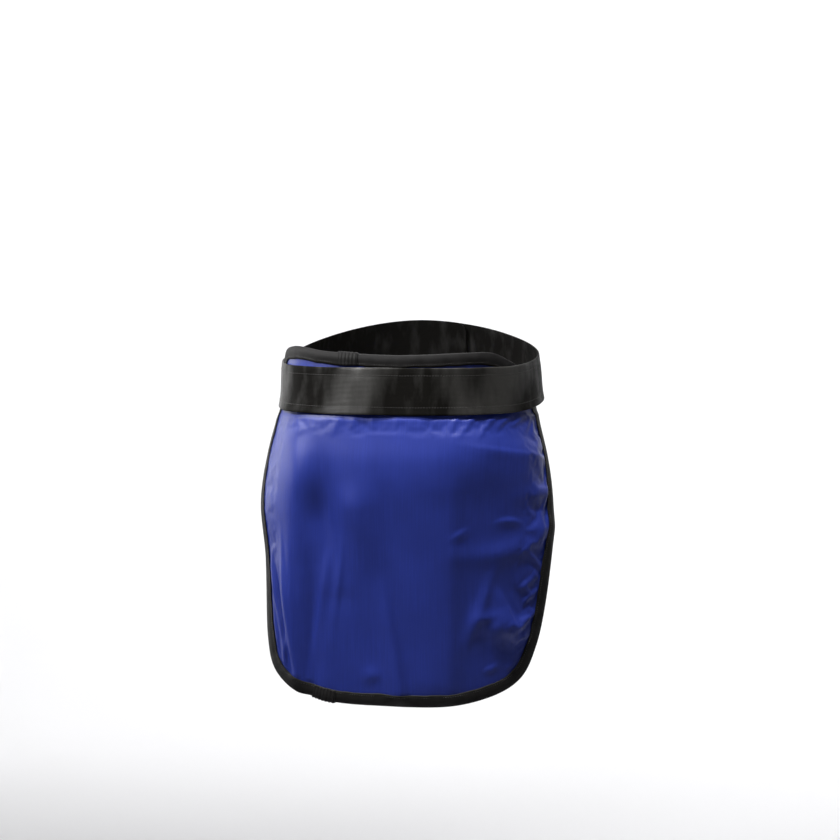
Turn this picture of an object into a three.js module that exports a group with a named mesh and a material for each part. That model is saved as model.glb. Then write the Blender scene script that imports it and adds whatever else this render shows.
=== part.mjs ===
// Maternity x-ray apron: a blue shielding panel that hangs from the waist, black tape folded over
// its whole edge, and a webbing belt sewn across its front that goes round and closes behind.
// Millimetres, +Z up. The front faces -Y, and the waist goes through the belt along Z.
// The origin is the middle of the waist, at mid height of the belt's front run.
import * as THREE from 'three';

// Driving dimensions
const PANEL_THICKNESS = 3;
const TAPE_WIDTH = 16;
const TAPE_THICKNESS = 1;
const BELT_WIDTH = 63.5;
const BELT_THICKNESS = 2.4;
const BELT_OVERLAP = 130;
const BELT_END_RADIUS = 12;
const BELT_REAR_RISE = 55;
const BELT_SIDE_FLARE = 6;
const FASTENER_LENGTH = 100;
const FASTENER_HEIGHT = 50;
const FASTENER_THICKNESS = 2;
const CLEARANCE = 0.3;
const BELT_CLEARANCE = 0.6;

// How the belt lies: the arcs between which it steps up onto the tape, the run in which its outer
// end lifts over its inner end, and the parts of the half girth where it starts to rise towards the
// back and where its lower edge stands out from the right hip.
const TAPE_STEP_START = 105;
const TAPE_STEP_END = 138;
const OVERLAP_LIFT_RUN = 70;
const RISE_START = 0.3;
const FLARE_MIDDLE = 0.5;
const FLARE_WIDTH = 0.13;

// The surface that the apron wraps, one row for each horizontal section.
// shift and front are the x and y of the front line. left and right are the arc lengths from there
// to the sides, where the surface faces straight sideways.
const SECTIONS = [
  { z: -450, shift: 0, front: -153, left: 310, right: 380 },
  { z: -330, shift: 0, front: -154, left: 257, right: 368 },
  { z: -240, shift: 0, front: -156, left: 243, right: 348 },
  { z: -160, shift: 0, front: -157, left: 248, right: 312 },
  { z: -90, shift: 1, front: -152, left: 233, right: 279 },
  { z: -20, shift: 3, front: -137, left: 214, right: 253 },
  { z: 30, shift: 3, front: -128, left: 212, right: 250 },
  { z: 90, shift: 3, front: -115, left: 206, right: 243 },
];

// How flat each side's section stays before it turns, in front and behind: 1 is a circle's steady turn
const LEFT_FLATNESS = { front: 2.2, back: 1 };
const RIGHT_FLATNESS = { front: 1.4, back: 1.62 };

// The panel's cut shape, anticlockwise from the lower left: arc is the way round from the front
// line, to the right, and z the height. The corner rows part the bottom, right, top and left edges.
const OUTLINE = [
  { arc: -166, z: -387, corner: true },
  { arc: -108, z: -417 },
  { arc: 0, z: -425 },
  { arc: 112, z: -419 },
  { arc: 177, z: -392, corner: true },
  { arc: 203, z: -349 },
  { arc: 233, z: -235 },
  { arc: 250, z: -165 },
  { arc: 255, z: -91 },
  { arc: 232, z: -25 },
  { arc: 199, z: 20, corner: true },
  { arc: 162, z: 39 },
  { arc: 133, z: 50 },
  { arc: 100, z: 51 },
  { arc: 0, z: 48 },
  { arc: -96, z: 52 },
  { arc: -157, z: 57 },
  { arc: -187, z: 46, corner: true },
  { arc: -201, z: -21 },
  { arc: -218, z: -86 },
  { arc: -218, z: -159 },
  { arc: -205, z: -228 },
  { arc: -186, z: -343 },
];

// Folds and dents of the panel: ridges along runs between two places on the cut shape.
// left and right are the widths on either side of the run, as seen along it, and height is out from
// the surface, negative in a dent.
const FOLDS = [
  { name: 'swell under the belt', arc0: -114, z0: -69, arc1: 78, z1: -71, left: 20, right: 40, height: 4 },
  { name: 'right hip swell', arc0: 78, z0: -71, arc1: 222, z1: -96, left: 26, right: 22, height: 5 },
  { name: 'left thigh crest', arc0: -136, z0: -88, arc1: -125, z1: -400, left: 14, right: 22, height: 4 },
  { name: 'left thigh furrow', arc0: -100, z0: -181, arc1: -106, z1: -400, left: 16, right: 12, height: -3 },
  { name: 'left hip hollow', arc0: -96, z0: -106, arc1: -64, z1: -161, left: 22, right: 24, height: -7 },
  { name: 'belly', arc0: -53, z0: -104, arc1: -24, z1: -144, left: 22, right: 22, height: 3 },
  { name: 'right hip hollow', arc0: 108, z0: -130, arc1: 203, z1: -143, left: 34, right: 28, height: -6 },
  { name: 'right thigh sling', arc0: 120, z0: -202, arc1: 215, z1: -190, left: 15, right: 15, height: 3 },
  { name: 'tent, inner leg', arc0: 140, z0: -262, arc1: 104, z1: -345, left: 16, right: 16, height: 3 },
  { name: 'tent, outer leg', arc0: 144, z0: -268, arc1: 172, z1: -325, left: 16, right: 16, height: 3 },
  { name: 'left edge fold', arc0: -164, z0: -181, arc1: -134, z1: -360, left: 12, right: 12, height: 2.4 },
];
const FOLDS_START = BELT_WIDTH / 2 + 3;
const FOLDS_FULL = BELT_WIDTH / 2 + 24;

// Mesh density
const PANEL_CELLS_ACROSS = 30;
const PANEL_CELLS_DOWN = 28;
const EDGE_SAMPLES = 240;
const ARC_STEPS = 48;
const PROBE = 0.5;
const BELT_STEPS = 104;
const BELT_END_STEPS = 4;
const FASTENER_STEPS = 12;

const { clamp, lerp, smoothstep } = THREE.MathUtils;
const QUARTER_TURN = Math.PI / 2;

const nylonBlue = { name: 'coated nylon', color: 0x262c86, roughness: 0.4, metalness: 0 };
const tapeBlack = { name: 'edge tape', color: 0x1b1918, roughness: 0.6, metalness: 0 };
const webbingBlack = { name: 'webbing', color: 0x24211f, roughness: 0.5, metalness: 0 };
const fastenerBlack = { name: 'hook and loop', color: 0x171615, roughness: 0.9, metalness: 0 };

// One column of the section table at height z, on a smooth curve through the rows
function sectionValue(column, z) {
  const last = SECTIONS.length - 1;
  const above = SECTIONS.findIndex((row) => row.z > z);
  const index = above < 0 ? last - 1 : Math.max(above - 1, 0);
  const low = SECTIONS[index];
  const high = SECTIONS[index + 1];
  const span = high.z - low.z;
  const slope = (i) => {
    const before = SECTIONS[Math.max(i - 1, 0)];
    const after = SECTIONS[Math.min(i + 1, last)];
    return (after[column] - before[column]) / (after.z - before.z);
  };
  const t = (z - low.z) / span;
  const rise = t * t * (3 - 2 * t);
  const leave = t * (1 - t) * (1 - t) * span * slope(index);
  const arrive = t * t * (t - 1) * span * slope(index + 1);
  return lerp(low[column], high[column], rise) + leave + arrive;
}

// How far a quarter section of the given length has gone across and in depth after arc,
// as it turns from straight across to straight back
function quarterSection(arc, length, flatness) {
  const step = arc / ARC_STEPS;
  let across = 0;
  let depth = 0;
  for (let i = 0; i < ARC_STEPS; i += 1) {
    const turn = QUARTER_TURN * (((i + 0.5) * step) / length) ** flatness;
    across += step * Math.cos(turn);
    depth += step * Math.sin(turn);
  }
  return { across, depth };
}

// Front and back quarters of one side's section. The sides meet at one back line, which is where the
// right side's back quarter ends when it is as wide as its front one.
const leftBack = quarterSection(1, 1, LEFT_FLATNESS.back);
const rightBack = quarterSection(1, 1, RIGHT_FLATNESS.back);
function sideSection(z, side) {
  const shift = sectionValue('shift', z);
  const front = sectionValue('front', z);
  const flatness = side < 0 ? LEFT_FLATNESS : RIGHT_FLATNESS;
  const frontLength = sectionValue(side < 0 ? 'left' : 'right', z);
  const { across, depth } = quarterSection(frontLength, frontLength, flatness.front);

  const rightLength = sectionValue('right', z);
  const right = quarterSection(rightLength, rightLength, RIGHT_FLATNESS.front);
  const back = front + right.depth + (right.across * rightBack.depth) / rightBack.across;

  const backUnit = side < 0 ? leftBack : rightBack;
  const backLength = across / backUnit.across;
  const deepen = (back - front - depth) / (backUnit.depth * backLength);
  return { shift, front, back, flatness, frontLength, backLength, deepen };
}

function halfGirth(z, side) {
  const { frontLength, backLength } = sideSection(z, side);
  return frontLength + backLength;
}

// Point of the wrapped surface, arc round from the front line at height z
function wrap(arc, z) {
  const side = Math.sign(arc) || 1;
  const run = Math.abs(arc);
  const { shift, front, back, flatness, frontLength, backLength, deepen } = sideSection(z, side);
  if (run <= frontLength) {
    const { across, depth } = quarterSection(run, frontLength, flatness.front);
    return new THREE.Vector3(shift + side * across, front + depth, z);
  }
  const toBack = frontLength + backLength - run;
  const { across, depth } = quarterSection(Math.abs(toBack), backLength, flatness.back);
  return new THREE.Vector3(shift + side * Math.sign(toBack) * across, back - deepen * depth, z);
}

function outward(arc, z) {
  const along = wrap(arc + PROBE, z).sub(wrap(arc - PROBE, z));
  const up = wrap(arc, z + PROBE).sub(wrap(arc, z - PROBE));
  return along.cross(up).normalize();
}

// How far the folds move the panel out at a place on its cut shape
function foldHeight(arc, z) {
  const place = new THREE.Vector2(arc, z);
  let height = 0;
  for (const { arc0, z0, arc1, z1, left, right, height: fullHeight } of FOLDS) {
    const start = new THREE.Vector2(arc0, z0);
    const run = new THREE.Vector2(arc1, z1).sub(start);
    const length = run.length();
    const from = place.clone().sub(start);
    const along = from.dot(run) / length;
    const off = run.cross(from) / length;
    const past = (2 * (along - clamp(along, 0, length))) / (left + right);
    const aside = off / (off > 0 ? left : right);
    height += fullHeight * Math.exp(-aside * aside - past * past);
  }
  return height * smoothstep(-z, FOLDS_START, FOLDS_FULL);
}

function panelPoint(place, offset) {
  const height = foldHeight(place.x, place.y) + offset;
  return wrap(place.x, place.y).addScaledVector(outward(place.x, place.y), height);
}

// Evenly spaced places along one edge of the cut shape, without the last
function edgeStations(curve, first, last, cells) {
  const fine = [];
  const reach = [0];
  for (let i = 0; i <= EDGE_SAMPLES; i += 1) {
    const row = lerp(first, last, i / EDGE_SAMPLES);
    fine.push(curve.getPoint((row / OUTLINE.length) % 1));
    if (i > 0) {
      reach.push(reach[i - 1] + fine[i].distanceTo(fine[i - 1]));
    }
  }
  const stations = [];
  for (let cell = 0; cell < cells; cell += 1) {
    const goal = (reach[EDGE_SAMPLES] * cell) / cells;
    const next = Math.max(reach.findIndex((length) => length > goal), 1);
    const t = (goal - reach[next - 1]) / (reach[next] - reach[next - 1]);
    const point = fine[next - 1].clone().lerp(fine[next], t);
    stations.push(new THREE.Vector2(point.x, point.y));
  }
  return stations;
}

// The whole outline as stations, anticlockwise from the lower left corner
function outlineStations() {
  const rows = OUTLINE.map((row) => new THREE.Vector3(row.arc, row.z, 0));
  const curve = new THREE.CatmullRomCurve3(rows, true);
  const corners = OUTLINE.flatMap((row, i) => (row.corner ? [i] : []));
  const ends = [...corners.slice(1), corners[0] + OUTLINE.length];
  const cells = [PANEL_CELLS_ACROSS, PANEL_CELLS_DOWN, PANEL_CELLS_ACROSS, PANEL_CELLS_DOWN];
  return corners.flatMap((first, i) => edgeStations(curve, first, ends[i], cells[i]));
}

// Each station moved in from the edge, at right angles to it
function inset(stations, distance) {
  const count = stations.length;
  return stations.map((station, i) => {
    const ahead = stations[(i + 1) % count];
    const behind = stations[(i + count - 1) % count];
    const run = ahead.clone().sub(behind).normalize();
    return new THREE.Vector2(station.x - run.y * distance, station.y + run.x * distance);
  });
}

// Grid of places inside a closed loop of stations: each is carried from the four edges around it
function fillLoop(loop) {
  const across = PANEL_CELLS_ACROSS;
  const down = PANEL_CELLS_DOWN;
  const bottom = (i) => loop[i];
  const right = (j) => loop[across + j];
  const top = (i) => loop[2 * across + down - i];
  const left = (j) => loop[(2 * (across + down) - j) % loop.length];
  const rows = [];
  for (let j = 0; j <= down; j += 1) {
    const v = j / down;
    const row = [];
    for (let i = 0; i <= across; i += 1) {
      const u = i / across;
      const upright = bottom(i).clone().lerp(top(i), v);
      const level = left(j).clone().lerp(right(j), u);
      const low = bottom(0).clone().lerp(bottom(across), u);
      const high = top(0).clone().lerp(top(across), u);
      row.push(upright.add(level).sub(low.lerp(high, v)));
    }
    rows.push(row);
  }
  return rows;
}

function quad(index, a, b, c, d) {
  index.push(a, b, c, a, c, d);
}

function solidGeometry(points, index) {
  const geometry = new THREE.BufferGeometry().setFromPoints(points);
  geometry.setIndex(index);
  geometry.computeVertexNormals();
  return geometry;
}

// Panel: two faces on one grid, each with a rim of cells under the tape, joined round the edge
function panelGeometry(stations) {
  const across = PANEL_CELLS_ACROSS;
  const down = PANEL_CELLS_DOWN;
  const count = stations.length;
  const places = [...fillLoop(inset(stations, TAPE_WIDTH)).flat(), ...stations];
  const half = PANEL_THICKNESS / 2;
  const front = places.map((place) => panelPoint(place, half));
  const back = places.map((place) => panelPoint(place, -half));

  const grid = (i, j) => j * (across + 1) + i;
  const gridEdge = [];
  for (let i = 0; i < across; i += 1) gridEdge.push(grid(i, 0));
  for (let j = 0; j < down; j += 1) gridEdge.push(grid(across, j));
  for (let i = across; i > 0; i -= 1) gridEdge.push(grid(i, down));
  for (let j = down; j > 0; j -= 1) gridEdge.push(grid(0, j));
  const edge = (k) => (across + 1) * (down + 1) + (k % count);

  const cells = [];
  for (let j = 0; j < down; j += 1) {
    for (let i = 0; i < across; i += 1) {
      quad(cells, grid(i, j), grid(i + 1, j), grid(i + 1, j + 1), grid(i, j + 1));
    }
  }
  const index = [...cells, ...cells.map((vertex) => vertex + places.length).reverse()];
  for (let k = 0; k < count; k += 1) {
    const outer = [edge(k), edge(k + 1)];
    const inner = [gridEdge[k], gridEdge[(k + 1) % count]];
    const outerBack = outer.map((vertex) => vertex + places.length);
    const innerBack = inner.map((vertex) => vertex + places.length);
    quad(index, outer[0], outer[1], inner[1], inner[0]);
    quad(index, innerBack[0], innerBack[1], outerBack[1], outerBack[0]);
    quad(index, outer[0], outerBack[0], outerBack[1], outer[1]);
  }
  return solidGeometry([...front, ...back], index);
}

// Solid swept through rings of points, each ring anticlockwise as seen from ahead
function sweptGeometry(rings, closed) {
  const size = rings[0].length;
  const spans = closed ? rings.length : rings.length - 1;
  const index = [];
  for (let k = 0; k < spans; k += 1) {
    const here = k * size;
    const next = ((k + 1) % rings.length) * size;
    for (let i = 0; i < size; i += 1) {
      const j = (i + 1) % size;
      quad(index, here + i, here + j, next + j, next + i);
    }
  }
  if (!closed) {
    const end = (rings.length - 1) * size;
    for (let i = 0; i < size / 2 - 1; i += 1) {
      const j = size - 1 - i;
      quad(index, j, j - 1, i + 1, i);
      quad(index, end + i, end + i + 1, end + j - 1, end + j);
    }
  }
  return solidGeometry(rings.flat(), index);
}

// Edge tape: one strip folded over the edge, lying on both faces
function tapeGeometry(stations) {
  const under = PANEL_THICKNESS / 2 + CLEARANCE;
  const over = under + TAPE_THICKNESS;
  const fold = CLEARANCE + TAPE_THICKNESS;
  const profile = [
    { inward: TAPE_WIDTH, offset: under },
    { inward: TAPE_WIDTH, offset: over },
    { inward: 0, offset: over },
    { inward: -fold, offset: over / 2 },
    { inward: -fold, offset: -over / 2 },
    { inward: 0, offset: -over },
    { inward: TAPE_WIDTH, offset: -over },
    { inward: TAPE_WIDTH, offset: -under },
    { inward: -CLEARANCE, offset: -under },
    { inward: -CLEARANCE, offset: under },
  ];
  const strands = profile.map(({ inward, offset }) => (
    inset(stations, inward).map((place) => panelPoint(place, offset))
  ));
  const rings = stations.map((_, k) => strands.map((strand) => strand[k]));
  return sweptGeometry(rings, true);
}

// Belt and fastener follow the waist: way is 0 at the front line and 1 or -1 behind the back
const waist = halfGirth(0, 1);
const beltEnd = 1 + BELT_OVERLAP / 2 / waist;
const tapeLift = CLEARANCE + TAPE_THICKNESS;
const overlapLift = BELT_THICKNESS + FASTENER_THICKNESS + 2 * BELT_CLEARANCE;

// Point across the belt's width, offset out from the belt's inner face. Past the back line the belt
// follows the other side, and on the right its lower edge stands away from the hip.
function beltPoint(way, across, offset) {
  const turned = Math.abs(way) > 1 ? way - 2 * Math.sign(way) : way;
  const z = across + BELT_REAR_RISE * smoothstep(Math.abs(turned), RISE_START, 1);
  const arc = turned * halfGirth(z, Math.sign(turned) || 1);
  const overTape = tapeLift * smoothstep(Math.abs(arc), TAPE_STEP_START, TAPE_STEP_END);
  const innerFace = PANEL_THICKNESS / 2 + BELT_CLEARANCE + overTape;
  const low = 0.5 - across / BELT_WIDTH;
  const flare = BELT_SIDE_FLARE * low * Math.exp(-(((way - FLARE_MIDDLE) / FLARE_WIDTH) ** 2));
  return wrap(arc, z).addScaledVector(outward(arc, z), innerFace + flare + offset);
}

// Flat strip along the belt's way: a row of ways, with the half width and lift at each
function stripGeometry(rows, thickness) {
  const rings = rows.map(({ way, halfWidth, lift }) => [
    beltPoint(way, -halfWidth, lift),
    beltPoint(way, 0, lift),
    beltPoint(way, halfWidth, lift),
    beltPoint(way, halfWidth, lift + thickness),
    beltPoint(way, 0, lift + thickness),
    beltPoint(way, -halfWidth, lift + thickness),
  ]);
  return sweptGeometry(rings, false);
}

// Belt: its last stretch lifts over its first, behind the back, and both ends have round corners
function beltGeometry() {
  const rounded = BELT_END_RADIUS / waist;
  const ways = [];
  for (let i = 0; i < BELT_END_STEPS; i += 1) {
    ways.push(-beltEnd + rounded * (1 - Math.cos((QUARTER_TURN * i) / BELT_END_STEPS)));
  }
  for (let i = 0; i <= BELT_STEPS; i += 1) {
    ways.push(lerp(-beltEnd + rounded, beltEnd - rounded, i / BELT_STEPS));
  }
  for (let i = BELT_END_STEPS - 1; i >= 0; i -= 1) {
    ways.push(beltEnd - rounded * (1 - Math.cos((QUARTER_TURN * i) / BELT_END_STEPS)));
  }
  const liftEnd = waist - BELT_OVERLAP / 2 - BELT_END_RADIUS;
  const rows = ways.map((way) => {
    const toEnd = Math.min((beltEnd - Math.abs(way)) * waist, BELT_END_RADIUS);
    const cut = BELT_END_RADIUS - Math.sqrt(BELT_END_RADIUS ** 2 - (BELT_END_RADIUS - toEnd) ** 2);
    const lift = overlapLift * smoothstep(way * waist, liftEnd - OVERLAP_LIFT_RUN, liftEnd);
    return { way, halfWidth: BELT_WIDTH / 2 - cut, lift };
  });
  return stripGeometry(rows, BELT_THICKNESS);
}

// Fastener: a patch between the belt's two layers
function fastenerGeometry() {
  const reach = FASTENER_LENGTH / 2 / waist;
  const rows = [];
  for (let i = 0; i <= FASTENER_STEPS; i += 1) {
    const way = lerp(1 - reach, 1 + reach, i / FASTENER_STEPS);
    rows.push({ way, halfWidth: FASTENER_HEIGHT / 2, lift: BELT_THICKNESS + BELT_CLEARANCE });
  }
  return stripGeometry(rows, FASTENER_THICKNESS);
}

function piece(name, geometry, finish) {
  const mesh = new THREE.Mesh(geometry, new THREE.MeshStandardMaterial(finish));
  mesh.name = name;
  return mesh;
}

const stations = outlineStations();
const apron = new THREE.Group();
apron.name = 'maternity_apron';
apron.add(
  piece('panel', panelGeometry(stations), nylonBlue),
  piece('edge_tape', tapeGeometry(stations), tapeBlack),
  piece('belt', beltGeometry(), webbingBlack),
  piece('belt_fastener', fastenerGeometry(), fastenerBlack),
);

export default apron;
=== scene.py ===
import math

import bpy
import numpy as np
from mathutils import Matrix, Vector


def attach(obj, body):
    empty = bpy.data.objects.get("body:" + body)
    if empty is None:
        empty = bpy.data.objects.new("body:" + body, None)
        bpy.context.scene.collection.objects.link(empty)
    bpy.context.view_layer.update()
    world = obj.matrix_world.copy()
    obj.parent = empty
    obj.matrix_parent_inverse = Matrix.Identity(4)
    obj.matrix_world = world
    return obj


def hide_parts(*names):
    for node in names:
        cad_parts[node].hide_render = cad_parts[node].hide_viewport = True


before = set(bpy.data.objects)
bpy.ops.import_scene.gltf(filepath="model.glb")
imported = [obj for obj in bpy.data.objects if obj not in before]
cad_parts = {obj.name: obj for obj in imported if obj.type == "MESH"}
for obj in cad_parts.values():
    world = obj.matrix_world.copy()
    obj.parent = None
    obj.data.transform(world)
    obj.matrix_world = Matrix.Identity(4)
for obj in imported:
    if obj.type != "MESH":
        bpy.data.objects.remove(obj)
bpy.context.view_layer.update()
scene = bpy.context.scene


# Camera: a long lens a little above the belt and to the right of the apron's front line, as the
# photograph was taken. Colours are shown as they are, without a film curve.
CAMERA_TURN = math.radians(8.41)
CAMERA_RISE = math.radians(5.45)
CAMERA_DISTANCE = 2.6
CAMERA_LENS = 78.4
CAMERA_SENSOR = 36
CAMERA_AIM = Vector((0.0175, 0.0026, -0.0503))

to_camera = Vector((
    math.sin(CAMERA_TURN) * math.cos(CAMERA_RISE),
    -math.cos(CAMERA_TURN) * math.cos(CAMERA_RISE),
    math.sin(CAMERA_RISE),
))
camera = bpy.data.objects.new("camera", bpy.data.cameras.new("camera"))
camera.data.sensor_width = CAMERA_SENSOR
camera.data.lens = CAMERA_LENS
camera.location = CAMERA_AIM + CAMERA_DISTANCE * to_camera
camera.rotation_euler = to_camera.to_track_quat("Z", "Y").to_euler()
scene.collection.objects.link(camera)
scene.camera = camera
scene.view_settings.view_transform = "Standard"


# Floor: one pale paper sweep, flat below the apron and curved up behind it.
# It is painted matt, with a faint mottle.
QUARTER_TURN = math.pi / 2
FLOOR_HEIGHT = -1.0
FLOOR_HALF_WIDTH = 5.0
FLOOR_START = -5.0
FLOOR_RUN = 6.6
SWEEP_RADIUS = 1.0
SWEEP_WALL = 3.2
FLOOR_STEPS = 60
FLOOR_COLOUR = (0.83, 0.83, 0.84)
FLOOR_MOTTLE = (0.85, 0.85, 0.86)


def grid_quads(rows, columns, round_rows=False, round_columns=False):
    """Quads of a grid of points that are numbered row by row: each joins a point, the next one in
    its row and the two that follow them in the next row. A round grid goes on from last to first."""
    row = np.arange(rows if round_rows else rows - 1)[:, None]
    column = np.arange(columns if round_columns else columns - 1)[None, :]
    next_row = (row + 1) % rows * columns
    next_column = (column + 1) % columns
    corners = np.broadcast_arrays(
        row * columns + column, row * columns + next_column, next_row + next_column, next_row + column
    )
    return np.stack(corners, axis=-1).reshape(-1, 4)


def add_piece(name, points, quads):
    """Smooth mesh object from points in metres and quads, in place, with its object at the origin."""
    mesh = bpy.data.meshes.new(name)
    mesh.from_pydata(points.reshape(-1, 3).tolist(), [], quads.tolist())
    mesh.shade_smooth()
    made = bpy.data.objects.new(name, mesh)
    scene.collection.objects.link(made)
    return made


def add_node(tree, kind, inputs=None, **settings):
    """Shader node with its settings, and its inputs by name: a socket is linked, a value is set."""
    made = tree.nodes.new(kind)
    for setting, value in settings.items():
        setattr(made, setting, value)
    for name, value in (inputs or {}).items():
        if isinstance(value, bpy.types.NodeSocket):
            tree.links.new(value, made.inputs[name])
        else:
            made.inputs[name].default_value = value
    return made


def colour_between(tree, factor, low, high, low_at=0.0, high_at=1.0):
    """Colour that goes from low to high as the factor goes from low_at to high_at."""
    ramp = add_node(tree, "ShaderNodeValToRGB", {"Fac": factor})
    ends = ramp.color_ramp.elements
    ends[0].position = low_at
    ends[0].color = (*low, 1)
    ends[1].position = high_at
    ends[1].color = (*high, 1)
    return ramp.outputs["Color"]


def value_between(tree, factor, low, high):
    """Number that goes from low to high as the factor goes from 0 to 1."""
    made = add_node(tree, "ShaderNodeMapRange", {"Value": factor, "To Min": low, "To Max": high})
    return made.outputs["Result"]


def shader_of(name, **sockets):
    """New material, its node tree and its shader. Socket names are given with _ for spaces."""
    finish = bpy.data.materials.new(name)
    finish.use_nodes = True
    shader = finish.node_tree.nodes["Principled BSDF"]
    for socket, value in sockets.items():
        shader.inputs[socket.replace("_", " ")].default_value = value
    return finish, finish.node_tree, shader


def paper_sweep():
    """Floor surface: straight runs across, carried along a flat run, a quarter turn and a wall."""
    across = np.linspace(-FLOOR_HALF_WIDTH, FLOOR_HALF_WIDTH, 3)
    turn_length = SWEEP_RADIUS * QUARTER_TURN
    along = np.linspace(0, FLOOR_RUN + turn_length + SWEEP_WALL, FLOOR_STEPS)
    turn = np.clip((along - FLOOR_RUN) / SWEEP_RADIUS, 0, QUARTER_TURN)
    depth = FLOOR_START + np.minimum(along, FLOOR_RUN) + SWEEP_RADIUS * np.sin(turn)
    climb = SWEEP_RADIUS * (1 - np.cos(turn)) + np.maximum(along - FLOOR_RUN - turn_length, 0)
    points = np.stack(np.broadcast_arrays(
        across[None, :], depth[:, None], FLOOR_HEIGHT + climb[:, None]
    ), axis=-1)
    return points, grid_quads(FLOOR_STEPS, len(across))


floor = add_piece("floor", *paper_sweep())
paper, tree, shader = shader_of("pale_paper", Roughness=0.9)
place = add_node(tree, "ShaderNodeTexCoord").outputs["Object"]
mottle = add_node(tree, "ShaderNodeTexNoise", {"Vector": place, "Scale": 3.0, "Detail": 2.0})
pale = colour_between(tree, mottle.outputs["Fac"], FLOOR_COLOUR, FLOOR_MOTTLE)
tree.links.new(pale, shader.inputs["Base Color"])
floor.data.materials.append(paper)


# Light: a dim white room, a softbox high on the left, a tall one that shines along the apron's left
# side, one overhead for what faces up, and one that lights the wall behind. All are white.
ROOM_BRIGHTNESS = 0.19
SOFTBOXES = (
    # name, place, what it is aimed at, size across, size up, spread in degrees, power in watts
    ("key_softbox", (-1.37, -0.89, 1.18), (0, -0.1, -0.2), 0.5, 0.5, 40, 3.1),
    ("side_softbox", (-2.0, 0.6, 0.25), (0, 0, -0.15), 0.4, 1.3, 60, 3.0),
    ("top_softbox", (0.1, -0.4, 1.8), (0.03, -0.15, -0.1), 0.4, 0.3, 30, 2.6),
    ("wall_softbox", (0, 1.2, 1.7), (0, 3.4, 0.0), 6.0, 0.5, 150, 105),
)

room = bpy.data.worlds.new("room")
room.use_nodes = True
room.node_tree.nodes["Background"].inputs["Color"].default_value = (1, 1, 1, 1)
room.node_tree.nodes["Background"].inputs["Strength"].default_value = ROOM_BRIGHTNESS
scene.world = room
for name, spot, aim, across, up, spread, power in SOFTBOXES:
    box = bpy.data.lights.new(name, "AREA")
    box.shape = "RECTANGLE"
    box.size = across
    box.size_y = up
    box.spread = math.radians(spread)
    box.energy = power
    lamp = bpy.data.objects.new(name, box)
    lamp.location = spot
    lamp.rotation_euler = (Vector(spot) - Vector(aim)).to_track_quat("Z", "Y").to_euler()
    scene.collection.objects.link(lamp)


# Panel: flexible shielding sheets between two covers of blue coated nylon, sewn round the edge.
# It is cut flat, hangs from the belt and curves round to both sides. The outer cover is a little
# loose, so it puckers under the belt and along the tape. Sizes and table rows are in millimetres.
MM = 0.001
PANEL_THICKNESS = 3.0
TAPE_WIDTH = 16.0
BELT_WIDTH = 63.5
PANEL_CELLS_ACROSS = 224
PANEL_CELLS_DOWN = 208
ARC_STEPS = 48
EDGE_STEPS = 1200
EDGE_PROBES = 360
PROBE = 0.5

# Horizontal sections of the surface that the apron wraps: height, x and y of the front line, and
# the arcs from there to the left and right sides
SECTION_Z, SHIFT, FRONT, LEFT, RIGHT = np.array((
    (-450, 0, -153, 310, 380),
    (-330, 0, -154, 257, 368),
    (-240, 0, -156, 243, 348),
    (-160, 0, -157, 248, 312),
    (-90, 1, -152, 233, 279),
    (-20, 3, -137, 214, 253),
    (30, 3, -128, 212, 250),
    (90, 3, -115, 206, 243),
), float).T

# How flat the left and right sides of a section stay before they turn, in front and behind
FRONT_FLATNESS = np.array((2.2, 1.4))
BACK_FLATNESS = np.array((1.0, 1.62))

# Cut shape, anticlockwise from the lower left: arc to the right of the front line, and height.
# The corner rows part the bottom, right, top and left edges.
OUTLINE = np.array((
    (-166, -387), (-108, -417), (0, -425), (112, -419),
    (177, -392), (203, -349), (233, -235), (250, -165), (255, -91), (232, -25),
    (199, 20), (162, 39), (133, 50), (100, 51), (0, 48), (-96, 52), (-157, 57),
    (-187, 46), (-201, -21), (-218, -86), (-218, -159), (-205, -228), (-186, -343),
), float)
CORNER_ROWS = (0, 4, 10, 17, 23)

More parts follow.
